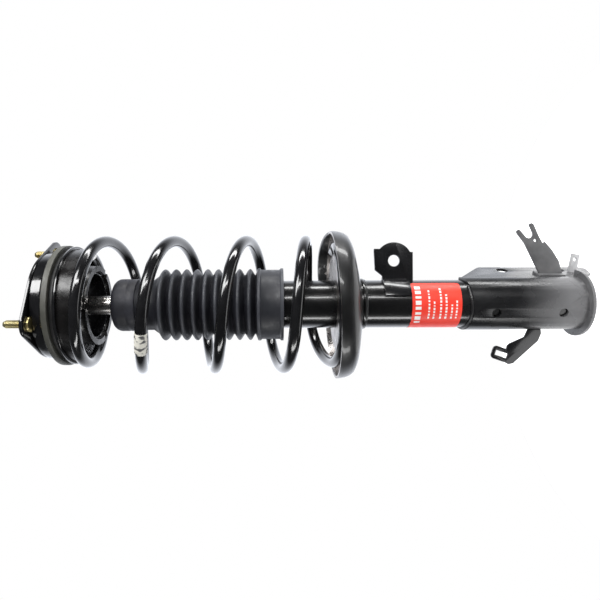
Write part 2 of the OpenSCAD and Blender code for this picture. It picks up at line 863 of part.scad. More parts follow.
// stands a flat outline of (reach, height) up in the plane of the small brackets
module tab_sheet(offset_y, thickness) {
    rotate([0, 0, tab_turn])
    translate([0, offset_y, 0])
    rotate([90, 0, 0])
    linear_extrude(thickness)
    union() {
        children();
    }
}

// trims pieces welded on the ear's outer face to that face
module outside_ear() {
    difference() {
        union() {
            children();
        }
        translate([ear_x - 100, -100, -ear_bottom - 50]) cube([100, 200, 300]);
    }
}

// plate with a fork that holds the brake hose, with a foot welded on the ear
module hose_bracket() {
    foot_depth = 547.4;
    foot_reach = ear_x * cos(tab_turn) + 25 * sin(tab_turn);
    lean = 27;
    plate_w = 17.5;
    plate_len = 63;
    notch_depth = 14;
    prong = 4;
    flare = 2.5;
    plate_y = 14;
    notch_end = plate_len - notch_depth + notch_w / 2;
    edge = notch_w / 2 + prong;
    color([0.33, 0.33, 0.34])
    outside_ear() {
        tab_sheet(plate_y, clip_t)
        translate([foot_reach - 3, -foot_depth])
        rotate(lean)
        difference() {
            union() {
                polygon([
                    [0, -plate_w / 2 - 1], [plate_len - 16, -plate_w / 2],
                    [plate_len - 2, -edge - 1], [plate_len, -edge + 0.5],
                    [plate_len, edge + flare - 1.5], [plate_len - 2, edge + flare],
                    [plate_len - 16, plate_w / 2], [0, plate_w / 2 + 1]
                ]);
                polygon([
                    [-2, -plate_w / 2 - 4], [12, -plate_w / 2 - 7], [26, -plate_w / 2 - 6],
                    [38, -plate_w / 2 - 3], [37, -plate_w / 2], [34, -plate_w / 2 + 1], [0, -plate_w / 2 + 1]
                ]);
            }
            translate([notch_end, 0]) circle(d = notch_w);
            polygon([
                [notch_end, -notch_w / 2], [plate_len + 1, -notch_w / 2 - 0.6],
                [plate_len + 1, notch_w / 2 + flare], [notch_end, notch_w / 2]
            ]);
            translate([plate_len - 19, -3]) circle(d = 3.4);
        }
        translate([ear_x, ear_corner_y + 0.3, -foot_depth - 12]) cube([clip_t, 16, 28]);
    }
}

// small upright tab on the ear that takes the wire's clip
module wire_clip_tab() {
    tab_w = 9;
    tab_h = 30;
    tab_y = 24;
    tab_depth = 576;
    color([0.55, 0.55, 0.56])
    outside_ear()
    tab_sheet(tab_y, clip_t)
    translate([ear_x * cos(tab_turn) + tab_y * sin(tab_turn), -tab_depth])
    rotate(-12)
    difference() {
        translate([0, -tab_w / 2]) square([tab_h - 6, tab_w]);
        translate([tab_h - 12, 0]) circle(d = 4);
    }
}

// plate with a slotted eye that holds the wheel speed sensor's wire
module sensor_bracket() {
    eye = [-55, -486.4];
    eye_turn = 71;
    corner_r = 4;
    half_w = slot_w / 2 + 0.6;
    half_l = slot_len / 2;
    function eye_at(u, v) =
        eye + u * [cos(eye_turn), sin(eye_turn)] + v * [-sin(eye_turn), cos(eye_turn)];
    outline = concat(
        [[-wrap_r + 2, -516], [-wrap_r + 2, -529], [-33, -529.5], [-41, -526], [-65, -499]],
        [[-66, -494], eye_at(-half_l, half_w + corner_r)],
        [for (t = [0 : 15 : 90]) eye_at(half_l + corner_r * sin(t), half_w + corner_r * cos(t))],
        [for (t = [0 : 15 : 90]) eye_at(half_l + corner_r * cos(t), -half_w - corner_r * sin(t))],
        [eye_at(-half_l / 2, -half_w - corner_r), [-46, -492.6], [-43.5, -495], [-36.5, -511]]
    );
    color([0.04, 0.04, 0.045])
    difference() {
        tab_sheet(clip_t / 2, clip_t)
        difference() {
            polygon(outline);
            translate(eye) rotate(eye_turn) square([slot_len, slot_w], center = true);
        }
        translate([0, 0, -ear_bottom]) cylinder(r = wrap_r, h = 200);
    }
}

module label() {
    sheet = 0.25;
    label_h = 51.2;
    label_bottom = 435.4;
    color([0.85, 0.16, 0.12])
    rotate([0, 0, tab_turn])
    translate([0, 0, -label_bottom])
    rotate_extrude(start = -204, angle = 172) translate([tube_r, 0]) square([sheet, label_h]);
}

mount_plate();
mount_housing();
mount_studs();
mount_rubber();
mount_sleeve();
upper_washer();
lower_washer();
rod_nut();
bearing_upper_race();
bearing_balls();
piston_rod();
rebound_stop();
piston();
piston_band();
rebound_valve();
compression_valve();
piston_nut();
bearing_lower_race();
upper_spring_seat();
upper_isolator();
coil_spring();
spring_tag();
bump_stop();
dust_boot();
outer_tube();
base_cap();
pressure_tube();
rod_guide();
guide_bush();
rod_seal();
base_valve();
lower_spring_seat();
seat_collar();
lower_isolator();
knuckle_bracket();
bracket_welds();
link_bracket();
hose_bracket();
wire_clip_tab();
sensor_bracket();
label();
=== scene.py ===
import math
import bmesh
import bpy
from mathutils import Matrix, Vector


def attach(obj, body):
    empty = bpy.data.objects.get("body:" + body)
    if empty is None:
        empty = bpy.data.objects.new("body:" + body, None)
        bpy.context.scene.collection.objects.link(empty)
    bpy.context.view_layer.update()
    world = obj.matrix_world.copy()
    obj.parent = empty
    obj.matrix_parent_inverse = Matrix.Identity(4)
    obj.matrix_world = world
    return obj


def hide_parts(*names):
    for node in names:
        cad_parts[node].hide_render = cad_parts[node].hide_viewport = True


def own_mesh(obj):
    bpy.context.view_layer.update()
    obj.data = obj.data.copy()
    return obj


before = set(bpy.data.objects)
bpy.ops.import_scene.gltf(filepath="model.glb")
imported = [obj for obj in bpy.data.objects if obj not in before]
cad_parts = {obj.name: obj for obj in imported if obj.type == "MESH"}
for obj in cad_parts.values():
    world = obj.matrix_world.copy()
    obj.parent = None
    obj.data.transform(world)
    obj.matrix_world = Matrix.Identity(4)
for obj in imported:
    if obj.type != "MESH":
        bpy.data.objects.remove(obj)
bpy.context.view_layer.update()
mm = 0.001

# Mount plate: 3 mm pressed steel with three lobes, dipped in black paint and baked.
# It is the face that bolts against the body shell, so its edge is broken all round.


def new_material(name):
    material = bpy.data.materials.new(name)
    material.use_nodes = True
    tree = material.node_tree
    where = tree.nodes.new("ShaderNodeTexCoord").outputs["Object"]
    return material, tree, tree.nodes["Principled BSDF"], where


def noise(tree, where, scale, detail=4.0, stretch=None):
    if stretch:
        mapping = tree.nodes.new("ShaderNodeMapping")
        mapping.inputs["Scale"].default_value = stretch
        tree.links.new(where, mapping.inputs["Vector"])
        where = mapping.outputs["Vector"]
    node = tree.nodes.new("ShaderNodeTexNoise")
    node.inputs["Scale"].default_value = scale
    node.inputs["Detail"].default_value = detail
    tree.links.new(where, node.inputs["Vector"])
    return node.outputs["Fac"]


def ramp(tree, value, stops):
    node = tree.nodes.new("ShaderNodeValToRGB")
    steps = node.color_ramp.elements
    while len(steps) < len(stops):
        steps.new(0.5)
    for step, (position, colour) in zip(steps, stops):
        step.position = position
        step.color = (*colour, 1)
    tree.links.new(value, node.inputs["Fac"])
    return node.outputs["Color"]


def spread(tree, value, low, high, start=0.3, end=0.7):
    node = tree.nodes.new("ShaderNodeMapRange")
    node.inputs["From Min"].default_value = start
    node.inputs["From Max"].default_value = end
    node.inputs["To Min"].default_value = low
    node.inputs["To Max"].default_value = high
    tree.links.new(value, node.inputs["Value"])
    return node.outputs["Result"]


def relief(tree, shader, height, distance):
    node = tree.nodes.new("ShaderNodeBump")
    node.inputs["Distance"].default_value = distance * mm
    node.inputs["Strength"].default_value = 1.0
    tree.links.new(height, node.inputs["Height"])
    tree.links.new(node.outputs["Normal"], shader.inputs["Normal"])


def gloss_paint(name, dark, light, rough=0.10, peel=0.008):
    material, tree, shader, where = new_material(name)
    cloud = noise(tree, where, 60, 6)
    tree.links.new(ramp(tree, cloud, [(0.35, dark), (0.75, light)]), shader.inputs["Base Color"])
    haze = noise(tree, where, 35, 8, (1, 1, 0.4))
    tree.links.new(spread(tree, haze, rough, rough + 0.10), shader.inputs["Roughness"])
    relief(tree, shader, noise(tree, where, 700, 2), peel)
    shader.inputs["Coat Weight"].default_value = 0.35
    shader.inputs["Coat Roughness"].default_value = 0.08
    return material


def piece(name, bm, material, body, slot, *nodes, edge=0.0, crease=30):
    mesh = bpy.data.meshes.new(name)
    bm.to_mesh(mesh)
    bm.free()
    mesh.shade_smooth()
    mesh.materials.append(material)
    obj = bpy.data.objects.new(name, mesh)
    bpy.context.scene.collection.objects.link(obj)
    if edge:
        bevel = obj.modifiers.new("edge", "BEVEL")
        bevel.width = edge * mm
        bevel.segments = 3
        bevel.limit_method = "ANGLE"
        bevel.angle_limit = math.radians(crease)
        bevel.harden_normals = True
    else:
        mesh.set_sharp_from_angle(angle=math.radians(crease))
    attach(obj, body)
    if nodes:
        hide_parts(*nodes)
    return obj


def pressed(node):
    bm = bmesh.new()
    bm.from_mesh(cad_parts[node].data)
    bmesh.ops.remove_doubles(bm, verts=bm.verts, dist=0.002 * mm)
    bmesh.ops.dissolve_limit(bm, angle_limit=math.radians(0.6), verts=bm.verts, edges=bm.edges)
    return bm


mount_black = gloss_paint("mount black", (0.004, 0.004, 0.0045), (0.010, 0.010, 0.011))
piece("plate", pressed("mount_plate"), mount_black, "top_mount", "black_paint", "mount_plate", edge=0.7)

# Mount housing: drawn steel cup under the plate, spot welded to it and painted with it.
# It holds the rubber, and its foot flares out over the bearing.
piece("housing", pressed("mount_housing"), mount_black, "top_mount", "black_paint", "mount_housing", edge=0.5)

# Mount rubber and sleeve: natural rubber moulded round a turned steel sleeve.
# The rubber carries the rod, and stands just short of the plate's face.


def moulded_rubber(name, dark, light, rough=0.62, grain=0.05, crest=None):
    material, tree, shader, where = new_material(name)
    cloud = noise(tree, where, 45, 8)
    colour = ramp(tree, cloud, [(0.3, dark), (0.7, light)])
    # Optional crest band: faces beyond a radius are mixed towards a paler colour, a painted highlight on the
    # fold tops.
    if crest:
        flat = tree.nodes.new("ShaderNodeVectorMath")
        flat.operation = "MULTIPLY"
        flat.inputs[1].default_value = (1, 1, 0)
        tree.links.new(where, flat.inputs[0])
        radius = tree.nodes.new("ShaderNodeVectorMath")
        radius.operation = "LENGTH"
        tree.links.new(flat.outputs["Vector"], radius.inputs[0])
        low, high, worn = crest
        share = spread(tree, radius.outputs["Value"], 0, 1, low * mm, high * mm)
        mix = tree.nodes.new("ShaderNodeMix")
        mix.data_type = "RGBA"
        mix.inputs["B"].default_value = (*worn, 1)
        tree.links.new(share, mix.inputs["Factor"])
        tree.links.new(colour, mix.inputs["A"])
        colour = mix.outputs["Result"]
    tree.links.new(colour, shader.inputs["Base Color"])
    sheen = noise(tree, where, 160, 4)
    tree.links.new(spread(tree, sheen, rough - 0.08, rough + 0.12), shader.inputs["Roughness"])
    relief(tree, shader, noise(tree, where, 900, 6), grain)
    shader.inputs["Specular IOR Level"].default_value = 0.4
    return material


def metal(name, colour, worn, rough=0.25, scale=300, stretch=None, grain=0.01):
    material, tree, shader, where = new_material(name)
    cloud = noise(tree, where, scale * 0.2, 6)
    tree.links.new(ramp(tree, cloud, [(0.35, colour), (0.75, worn)]), shader.inputs["Base Color"])
    lines = noise(tree, where, scale, 5, stretch)
    tree.links.new(spread(tree, lines, rough, rough + 0.18), shader.inputs["Roughness"])
    relief(tree, shader, lines, grain)
    shader.inputs["Metallic"].default_value = 1.0
    return material


def coat(material, *nodes):
    for node in nodes:
        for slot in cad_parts[node].material_slots:
            slot.material = material


bonded_rubber = moulded_rubber("bonded rubber", (0.008, 0.008, 0.008), (0.02, 0.02, 0.021))
plated_steel = metal("plated steel", (0.52, 0.52, 0.54), (0.38, 0.38, 0.40), 0.28)
piece("rubber_core", pressed("mount_rubber"), bonded_rubber,
      "top_mount", "mount_rubber", "mount_rubber", edge=0.6)
piece("sleeve", pressed("mount_sleeve"), plated_steel, "top_mount", "zinc", "mount_sleeve", edge=0.4)

# Mount studs: cold headed 8 mm studs pressed through the plate from below.
# Zinc plated and yellow passivated, with a round head and a blunt lead on the thread.
stud_circle = 57
stud_turns = (33, 153, 273)


def lathe(profile, steps=96, closed=True):
    bm = bmesh.new()
    ring = [bm.verts.new((r * mm, 0, z * mm)) for r, z in profile]
    count = len(ring)
    edges = [bm.edges.new((ring[i], ring[(i + 1) % count])) for i in range(count if closed else count - 1)]
    bmesh.ops.spin(bm, geom=ring + edges, cent=(0, 0, 0), axis=(0, 0, 1), angle=math.tau,
                   steps=steps, use_merge=True)
    bmesh.ops.remove_doubles(bm, verts=bm.verts, dist=0.002 * mm)
    bmesh.ops.recalc_face_normals(bm, faces=bm.faces)
    return bm


def thread_profile(crest, root, bottom, top, pitch):
    points = []
    z = bottom
    while z < top:
        points += [(root, z), (crest, z + pitch * 0.4), (crest, z + pitch * 0.6)]
        z += pitch
    return points


passivated = metal("yellow passivated zinc", (0.62, 0.50, 0.22), (0.42, 0.40, 0.26), 0.3, 200)
studs = bmesh.new()
shank = [(0, -6), (6.6, -6), (7.3, -5.6), (7.6, -4.9), (7.6, -3.7), (7.3, -3), (4.2, -3), (4.2, 0), (4, 0.3)]
shank += thread_profile(4.0, 3.45, 1.2, 18.6, 1.25) + [(3.4, 19.4), (2.7, 21), (0, 21)]
for turn in stud_turns:
    one = lathe(shank, 48, closed=False)
    place = Matrix.Rotation(math.radians(turn), 4, "Z") @ Matrix.Translation((stud_circle * mm, 0, 0))
    bmesh.ops.transform(one, matrix=place, verts=one.verts)
    loose = bpy.data.meshes.new("stud")
    one.to_mesh(loose)
    one.free()
    studs.from_mesh(loose)
    bpy.data.meshes.remove(loose)
piece("studs", studs, passivated, "top_mount", "yellow_zinc", "mount_studs", crease=35)

# Rod nut and washers: a flanged-washer stack and a hexagon lock nut that clamp the rod to the sleeve.
# The nut is yellow passivated and the washers are plain zinc, stamped from strip.
piece("washer_over", pressed("upper_washer"), plated_steel, "top_mount", "zinc", "upper_washer", edge=0.4)
piece("washer_under", pressed("lower_washer"), plated_steel, "top_mount", "zinc", "lower_washer", edge=0.4)
piece("lock_nut", pressed("rod_nut"), passivated, "top_mount", "yellow_zinc", "rod_nut", edge=0.8)

# Bearing: two glass-filled nylon races with steel balls between them.
# The upper race's skirt hangs over the seat and shows as a matt olive-grey band.


def plain_plastic(name, dark, light, rough=0.5, grain=0.03):
    material, tree, shader, where = new_material(name)
    cloud = noise(tree, where, 80, 6)
    tree.links.new(ramp(tree, cloud, [(0.3, dark), (0.7, light)]), shader.inputs["Base Color"])
    sheen = noise(tree, where, 220, 4)
    tree.links.new(spread(tree, sheen, rough - 0.06, rough + 0.1), shader.inputs["Roughness"])
    relief(tree, shader, noise(tree, where, 1100, 5), grain)
    return material


race_grey = plain_plastic("race nylon", (0.045, 0.045, 0.038), (0.075, 0.075, 0.062))
race_black = plain_plastic("lower race nylon", (0.012, 0.012, 0.012), (0.022, 0.022, 0.022))
piece("race_band", pressed("bearing_upper_race"), race_grey,
      "top_mount", "race_plastic", "bearing_upper_race", edge=0.7)
piece("race_lower", pressed("bearing_lower_race"), race_black,
      "spring_seat", "race_dark", "bearing_lower_race", edge=0.4)
coat(metal("ball steel", (0.62, 0.62, 0.64), (0.5, 0.5, 0.52), 0.08), "bearing_balls")

# Piston rod: induction hardened bar, hard chromed and polished, with a reduced shank through the mount.
# Faint lines round it are left by the polishing belt.
rod_foot = -280
shank_step = -23.4
chrome = metal("hard chrome", (0.90, 0.89, 0.88), (0.74, 0.68, 0.62), 0.16, 500, (1, 1, 6), 0.002)
rod_profile = [(0, -308), (5.6, -308), (6, -307.6), (6, rod_foot), (9.4, rod_foot), (10, rod_foot + 0.6)]
rod_profile += [(10, -150), (10, shank_step - 0.8), (9.2, shank_step), (7, shank_step), (7, 2.4)]
rod_profile += thread_profile(7.0, 6.3, 3.0, 14.4, 1.5) + [(6.2, 15.6), (5.4, 16.5), (0, 16.5)]
piece("rod", lathe(rod_profile, 64, closed=False), chrome, "top_mount", "chrome", "piston_rod", crease=35)

# Piston and valve stack: sintered iron piston with a low-friction band, spring steel discs and a nut.
# They run inside the pressure tube, and only a cut through the damper shows them.
sinter = metal("sintered iron", (0.28, 0.27, 0.26), (0.20, 0.19, 0.18), 0.45, 700, None, 0.03)
coat(sinter, "piston", "rod_guide", "base_valve")
coat(plated_steel, "rebound_valve", "compression_valve", "piston_nut")
coat(plain_plastic("guide band", (0.42, 0.38, 0.28), (0.5, 0.46, 0.36), 0.4), "piston_band")
coat(plain_plastic("stop nylon", (0.015, 0.015, 0.015), (0.03, 0.03, 0.03)), "rebound_stop")

# Upper spring seat: deep drawn steel pan with a rolled rim and a drawn neck for the bump stop.
# Four drain holes let water out of the pan; the paint is the same dipped black.
piece("seat_pan", pressed("upper_spring_seat"), mount_black,
      "spring_seat", "black_paint", "upper_spring_seat", edge=0.6)

# Upper isolator: rubber wedge between the pan and the spring's end coil.
# Its underside is moulded to the coil's rise.
seat_rubber = moulded_rubber("seat rubber", (0.006, 0.006, 0.006), (0.016, 0.016, 0.017))
skin_rubber = moulded_rubber("pad rubber", (0.003, 0.003, 0.003), (0.009, 0.008, 0.008), 0.26, 0.01)
piece("upper_pad", pressed("upper_isolator"), skin_rubber,
      "spring_seat", "seat_rubber", "upper_isolator", crease=25)

# Coil spring: 12 mm spring steel wire wound hot, shot peened and powder coated gloss black.
# Both end coils are drawn in; each pitch row is a turn, a fixed pitch and a share of the full pitch.
# A least-squares program gave all the rows but the first turn and the last row; they were then rounded.
wire_r = 6.0
coil_r, coil_end_r, coil_foot_r = 68.0, 58.0, 62.0
tab_turn, dip_turn, wave_turn = 21.0, 201.0, 54.0
turn_start, turn_end, coil_wave, seat_tilt = -0.95, 4.05, 1.8, 2.2
spring_top, spring_bottom = 38.1, 310.7
foot_from, foot_run, seated_from, seated_run = 3.1, 0.42, 3.33, 0.3
pitch_rows = ((-0.95, 4.5, 0), (-0.85, 4.5, 0), (0.33, 0, 1), (2.02, 0, 1), (2.4, 66, 0), (2.75, 62, 0),
              (3.0, 26, 0), (3.15, 28, 0), (3.3, 64, 0), (3.45, 74, 0), (3.6, 45, 0), (3.75, 4, 0),
              (4.05, 2, 0))


def eased(value):
    value = max(0.0, min(1.0, value))
    return value * value * (3 - 2 * value)


def pitch_sum(turn, column):
    total = 0.0
    for here, after in zip(pitch_rows, pitch_rows[1:]):
        if turn > here[0]:
            run = min(turn, after[0]) - here[0]
            slope = (after[column] - here[column]) / (after[0] - here[0])
            total += run * here[column] + slope * run * run / 2
    return total


full_pitch = (spring_bottom - spring_top - pitch_sum(turn_end, 1)) / pitch_sum(turn_end, 2)


def wire_point(turn):
    depth = spring_top + pitch_sum(turn, 1) + full_pitch * pitch_sum(turn, 2)
    angle = math.radians(tab_turn + 360 * turn)
    radius = coil_end_r + (coil_r - coil_end_r) * eased((turn + 0.75) / 0.75)
    radius -= (coil_r - coil_foot_r) * eased((turn - foot_from) / foot_run)
    follow = eased((turn - seated_from) / seated_run)
    wave = coil_wave * eased((turn + 0.3) / 0.5) * (1 - follow)
    z = -wave * math.cos(2 * (angle - math.radians(wave_turn))) - depth
    z -= radius * math.cos(angle - math.radians(dip_turn)) * math.tan(math.radians(seat_tilt)) * follow
    return Vector((radius * math.cos(angle), radius * math.sin(angle), z))


def drawn_tube(name, points, radii, sides):
    curve = bpy.data.curves.new(name, "CURVE")
    curve.dimensions = "3D"
    curve.bevel_depth = 1.0 * mm
    curve.bevel_resolution = sides
    curve.use_fill_caps = True
    spline = curve.splines.new("POLY")
    spline.points.add(len(points) - 1)
    for point, place, radius in zip(spline.points, points, radii):
        point.co = (*(place * mm), 1)
        point.radius = radius
    holder = bpy.data.objects.new(name, curve)
    bpy.context.scene.collection.objects.link(holder)
    bpy.context.view_layer.update()
    mesh = bpy.data.meshes.new_from_object(holder.evaluated_get(bpy.context.evaluated_depsgraph_get()))
    bpy.data.objects.remove(holder)
    bm = bmesh.new()
    bm.from_mesh(mesh)
    bpy.data.meshes.remove(mesh)
    bmesh.ops.remove_doubles(bm, verts=bm.verts, dist=0.002 * mm)
    bmesh.ops.recalc_face_normals(bm, faces=bm.faces)
    return bm


def wire_run(start, end, radius, count):
    turns = [start + (end - start) * i / count for i in range(count + 1)]
    return [wire_point(turn) for turn in turns], [radius] * (count + 1)


spring_black = gloss_paint("spring powder coat", (0.004, 0.004, 0.0045), (0.011, 0.011, 0.012), 0.10, 0.012)
spring_points, spring_radii = wire_run(turn_start, turn_end, wire_r, 420)
spring = piece("spring", drawn_tube("spring", spring_points, spring_radii, 10), spring_black,
               "spring_seat", "spring_paint", "coil_spring", crease=50)
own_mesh(spring)

# Spring tag: a strip of batch paper stuck round the wire at the winder.
# It is creased, and its ink is only faint bars.


def tag_paper():
    material, tree, shader, where = new_material("batch paper")
    blot = noise(tree, where, 260, 3, (1, 1, 0.5))
    ink = ramp(tree, blot, [(0.0, (0.72, 0.69, 0.60)), (0.50, (0.80, 0.78, 0.70)),
                            (0.58, (0.10, 0.10, 0.10))])
    tree.links.new(ink, shader.inputs["Base Color"])
    tree.links.new(spread(tree, blot, 0.55, 0.8), shader.inputs["Roughness"])
    relief(tree, shader, noise(tree, where, 320, 6), 0.3)
    return material


tag_points, tag_radii = wire_run(0.634, 0.688, wire_r + 0.35, 24)
tag_radii = [r + 0.12 * math.sin(i * 1.7) for i, r in enumerate(tag_radii)]
tag = piece("paper_tag", drawn_tube("paper_tag", tag_points, tag_radii, 8), tag_paper(),
            "spring_seat", "tag_paper", "spring_tag", crease=50)
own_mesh(tag)

# Bump stop: cast micro-cellular elastomer that slides on the rod and catches the tube at full bump.
# Its skin is mottled, its crown is rounded, and the boot clips round a step lower down.
stop_bore, stop_r, grip_r = 10.4, 28.0, 25.0
crown_z, grip_z, stop_foot = -71.4, -97.4, -115.4
foam = moulded_rubber("cellular elastomer", (0.007, 0.007, 0.010), (0.030, 0.031, 0.040), 0.55, 0.12)
stop_profile = [(stop_bore, crown_z - 1), (stop_bore + 1, crown_z), (20, crown_z), (22.6, crown_z - 0.5)]
stop_profile += [(24.9, crown_z - 1.7), (26.7, crown_z - 3.6), (27.7, crown_z - 5.8), (stop_r, crown_z - 8)]
stop_profile += [(stop_r, crown_z - 15), (27.6, crown_z - 16), (27.6, crown_z - 17), (stop_r, crown_z - 18)]
stop_profile += [(stop_r, grip_z + 1), (27.4, grip_z + 0.2), (grip_r, grip_z), (grip_r, stop_foot + 4)]
stop_profile += [(23, stop_foot), (stop_bore, stop_foot)]
piece("bump_foam", lathe(stop_profile), foam, "bumper", "bump_foam", "bump_stop", crease=40)

# Dust boot: blow-moulded rubber bellows with nine folds and a plain collar that hangs over the tube.
# The crests are painted paler than the valleys, a painted highlight on the fold tops, and moulded lips edge
# the collar.
boot_wall, crest_r, root_r = 2.0, 38.3, 31.5
folds, fold_pitch, first_fold = 9, 11.35, 125.4
collar_r, collar_top, collar_foot, lip = 37.3, -224.55, -251.55, 1.6
# Its last argument paints the fold crests paler, a painted highlight.
boot_rubber = moulded_rubber("boot rubber", (0.004, 0.0044, 0.0065), (0.010, 0.0107, 0.0145), 0.45, 0.04,
                             (36.6, 38.6, (0.055, 0.058, 0.068)))
boot_outer = [(grip_r + boot_wall - 0.4, grip_z), (grip_r + boot_wall, grip_z - 0.4)]
boot_outer += [(grip_r + boot_wall, stop_foot + 2)]
for step in range(folds * 12 + 1):
    z = -first_fold + fold_pitch / 2 - step * fold_pitch / 12
    swell = 0.5 - 0.5 * math.cos(math.tau * step / 12)
    boot_outer.append((root_r + (crest_r - root_r) * swell ** 0.7, z))
boot_outer += [(collar_r + lip - 0.4, collar_top), (collar_r + lip, collar_top - 0.4)]
boot_outer += [(collar_r + lip, collar_top - 2.6)]
boot_outer += [(collar_r + 0.6, collar_top - 3.4), (collar_r, collar_top - 4.2)]
boot_outer += [(collar_r, collar_foot + 4.2), (collar_r + 0.6, collar_foot + 3.4)]
boot_outer += [(collar_r + lip, collar_foot + 2.6), (collar_r + lip, collar_foot)]
boot_inner = [(r - boot_wall - (lip if r > collar_r + 0.9 else 0), z) for r, z in reversed(boot_outer)]
boot = piece("boot", lathe(boot_outer + boot_inner), boot_rubber,
             "bumper", "boot_rubber", "dust_boot", crease=50)
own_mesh(boot)

# Damper tube: drawn and welded steel tube, its top rolled in over the rod guide and its foot capped.
# Black gloss paint covers it after assembly.
tube_r, tube_bore_r, tube_top, tube_foot = 25.5, 23.0, -227.0, -550.0
tube_black = gloss_paint("damper black", (0.003, 0.003, 0.0032), (0.008, 0.008, 0.008), 0.2)
roll_r = 3
tube_profile = [(tube_bore_r, tube_foot), (tube_r - 0.4, tube_foot), (tube_r, tube_foot + 0.4)]
tube_profile += [(tube_r, tube_top - roll_r)]
for step in range(1, 7):
    bend = math.radians(15 * step)
    across, rise = roll_r * math.cos(bend), roll_r * math.sin(bend)
    tube_profile.append((tube_r - roll_r + across, tube_top - roll_r + rise))
tube_profile += [(19.3, tube_top), (19, tube_top - 0.3), (19, tube_top - 2), (tube_bore_r, tube_top - 2)]
piece("tube", lathe(tube_profile), tube_black, "tube", "tube_paint", "outer_tube", crease=40)
piece("tube_cap", pressed("base_cap"), tube_black, "tube", "tube_paint", "base_cap", edge=0.6)

# Damper inside: drawn pressure tube, sintered guide with a bronze bush, and the rod's rubber seal.
# All of it is closed in by the tube.
coat(metal("drawn tube", (0.55, 0.55, 0.57), (0.45, 0.45, 0.47), 0.2, 400, (1, 1, 0.1)), "pressure_tube")
coat(metal("bush bronze", (0.48, 0.33, 0.18), (0.40, 0.28, 0.16), 0.3), "guide_bush")
coat(seat_rubber, "rod_seal")

# Lower spring seat: deep drawn dish, welded to the tube through a collar, painted with the tube.
# Inside, the coil has rubbed the coat to a silvery sheen; a taller wall guards the wheel side.
dish_r, rim_inset = 78.8, 2.2
rubbed_below = -304.4
rubbed = metal("rubbed dish", (0.42, 0.40, 0.39), (0.10, 0.085, 0.075), 0.22, 90, (1, 1, 0.3), 0.06)
dish_black = gloss_paint("dish black", (0.002, 0.002, 0.0022), (0.006, 0.006, 0.006), 0.34)
dish = piece("dish", pressed("lower_spring_seat"), dish_black,
             "tube", "tube_paint", "lower_spring_seat", edge=0.5)
dish.data.materials.append(rubbed)
for face in dish.data.polygons:
    out = Vector((face.center.x, face.center.y, 0))
    inward = face.normal.dot(out.normalized()) if out.length else 0
    inside = out.length < (dish_r - rim_inset) * mm and face.center.z < rubbed_below * mm
    if inside and (inward < -0.15 or face.normal.z > 0.4):
        face.material_index = 1
piece("dish_collar", pressed("seat_collar"), tube_black, "tube", "tube_paint", "seat_collar", edge=0.8)
piece("lower_pad", pressed("lower_isolator"), seat_rubber, "tube", "seat_rubber", "lower_isolator", edge=0.8)

# Knuckle bracket: 2.8 mm pressed steel wrapped round the tube, with two ears for the knuckle.
# Towards the open foot, where the end lip is folded out, its black is painted greyer as a painted reflection.
# Heights between which the black fades to the painted reflection's grey.
painted_reflection_foot_z, painted_reflection_top_z = -548, -500


def bracket_paint():
    material, tree, shader, where = new_material("bracket black")
    split = tree.nodes.new("ShaderNodeSeparateXYZ")
    tree.links.new(where, split.inputs["Vector"])
    # The grey mixed in towards the foot is a painted reflection, not a change in the paint.
    along = spread(tree, split.outputs["Z"], 1, 0, painted_reflection_foot_z * mm, painted_reflection_top_z * mm)
    mix = tree.nodes.new("ShaderNodeMix")
    mix.data_type = "RGBA"
    mix.inputs["B"].default_value = (0.095, 0.095, 0.098, 1)
    cloud = noise(tree, where, 60, 6)
    black_coat = ramp(tree, cloud, [(0.35, (0.005, 0.005, 0.0055)), (0.75, (0.012, 0.012, 0.013))])
    tree.links.new(along, mix.inputs["Factor"])
    tree.links.new(black_coat, mix.inputs["A"])
    tree.links.new(mix.outputs["Result"], shader.inputs["Base Color"])
    tree.links.new(spread(tree, noise(tree, where, 35, 8), 0.2, 0.34), shader.inputs["Roughness"])
    relief(tree, shader, noise(tree, where, 700, 2), 0.015)
    return material


bracket_black = bracket_paint()
piece("ears", pressed("knuckle_bracket"), bracket_black, "tube", "bracket_paint", "knuckle_bracket", edge=0.9)

# Bracket welds: fillet beads laid by a robot along the bracket's top edge, and a bead round the seat collar.
# The ripples follow the wire feed, and the paint covers them.


def bead(name, points, radius, *nodes):
    ripple = [radius * (1 + 0.10 * math.sin(i * 2.1)) for i in range(len(points))]
    return piece(name, drawn_tube(name, points, ripple, 4), weld_black,
                 "tube", "weld_paint", *nodes, crease=50)


def arc(radius, z_of, start, end, count):
    turns = [math.radians(start + (end - start) * i / count) for i in range(count + 1)]
    return [Vector((radius * math.cos(t), radius * math.sin(t), z_of(radius * math.sin(t)))) for t in turns]


weld_black = gloss_paint("weld paint", (0.006, 0.006, 0.0065), (0.016, 0.016, 0.017), 0.25, 0.05)
bracket_seam_r, seam_z, seam_y, seam_slope = 26.1, -446.6, -29.3, 0.149
collar_seam_r, collar_z = 26.0, -338.0
bracket_seam = arc(bracket_seam_r, lambda y: seam_z + (y - seam_y) * seam_slope, 205, 335, 80)
bead("weld_bracket", bracket_seam, 1.5, "bracket_welds")
bead("weld_collar", arc(collar_seam_r, lambda y: collar_z, 0, 357, 150), 0.7)

# Link bracket: pressed plate with a folded edge, spot welded to a saddle on the tube.
# Its hole takes the anti-roll bar link's ball stud.
plain_black = gloss_paint("small bracket black", (0.004, 0.004, 0.0045), (0.010, 0.010, 0.011), 0.2)
piece("link_plate", pressed("link_bracket"), plain_black, "tube", "bracket_paint", "link_bracket", edge=0.7)

# Hose bracket: 2.4 mm plate with a forked end for the brake hose's grommet, welded to the ear.
# It is left in a matt grey electro-coat, with a curled stiffening flange down its lower side.
grey_coat = plain_plastic("grey coat", (0.060, 0.060, 0.062), (0.10, 0.10, 0.102), 0.4, 0.05)
piece("hose_plate", pressed("hose_bracket"), grey_coat, "tube", "grey_paint", "hose_bracket", edge=0.6)

